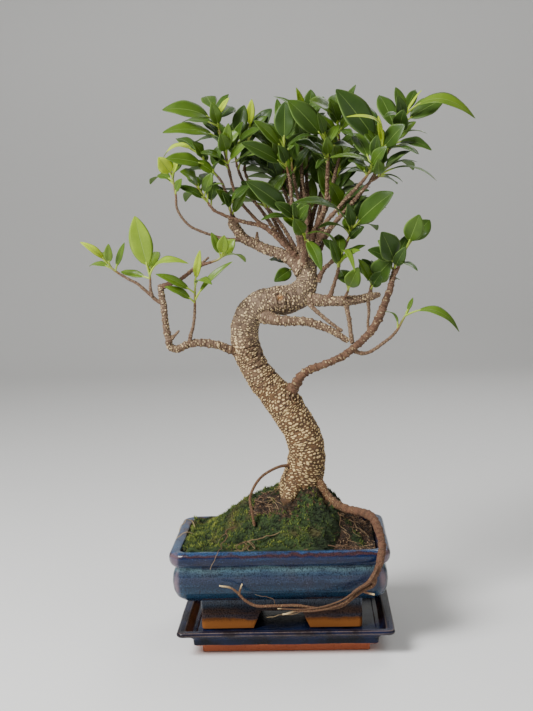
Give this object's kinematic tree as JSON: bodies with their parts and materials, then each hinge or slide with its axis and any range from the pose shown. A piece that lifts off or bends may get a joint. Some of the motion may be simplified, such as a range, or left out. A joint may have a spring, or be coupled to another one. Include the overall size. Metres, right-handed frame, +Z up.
{
  "type": "bonsai tree in a pot",
  "caption": "Fig bonsai with an S-curved trunk, hanging root and glossy leaves, in a blue glazed rectangular pot on a matching saucer.",
  "frame": {"origin": "centre of the saucer's flat underside, where it rests on the table", "axes": "+Z up along the tree's height, +X to the right and -Y towards the viewer who faces the pot's front"},
  "size_m": [0.3538, 0.1838, 0.5064],
  "materials": {
    "pot_glaze": "gloss",
    "saucer_glaze": "gloss",
    "soil": "matte",
    "moss": "matte",
    "bark": "matte",
    "leaves": "satin"
  },
  "bodies": {
    "root": {"saucer": "saucer_glaze", "pot": "pot_glaze", "soil": "soil", "moss": "moss", "trunk": "bark", "shoot_low_left_tip": "leaves", "shoot_low_left_big_leaf": "leaves", "shoot_low_left_pair": "leaves", "shoot_low_left_upright": "leaves", "shoot_far_right": "leaves", "shoot_long_right_end": "leaves", "shoot_right_round_pair": "leaves", "shoot_right_low_round": "leaves", "shoot_right_low_dark": "leaves", "shoot_right_inner_low": "leaves", "shoot_right_inner_mid": "leaves", "shoot_right_top_main": "leaves", "shoot_right_fan": "leaves", "shoot_right_mid": "leaves", "shoot_right_shoulder": "leaves", "shoot_top_right": "leaves", "shoot_top_right_back": "leaves", "shoot_top_centre_pair": "leaves", "shoot_top_centre_back": "leaves", "shoot_centre_left": "leaves", "shoot_centre_right": "leaves", "shoot_centre_front": "leaves", "shoot_centre_low_round": "leaves", "shoot_trunk_top_leaf": "leaves", "shoot_inner_left": "leaves", "shoot_inner_left_back": "leaves", "shoot_top_left": "leaves", "shoot_top_left_low": "leaves", "shoot_left_mid": "leaves", "shoot_left_knob_leaf": "leaves", "shoot_left_small": "leaves", "shoot_left_arm": "leaves", "shoot_back_01": "leaves", "shoot_back_02": "leaves", "shoot_back_03": "leaves", "shoot_back_04": "leaves", "shoot_back_05": "leaves", "shoot_back_06": "leaves", "shoot_back_07": "leaves", "shoot_back_08": "leaves", "shoot_back_09": "leaves", "shoot_back_10": "leaves", "shoot_back_11": "leaves"}
  },
  "joints": []
}
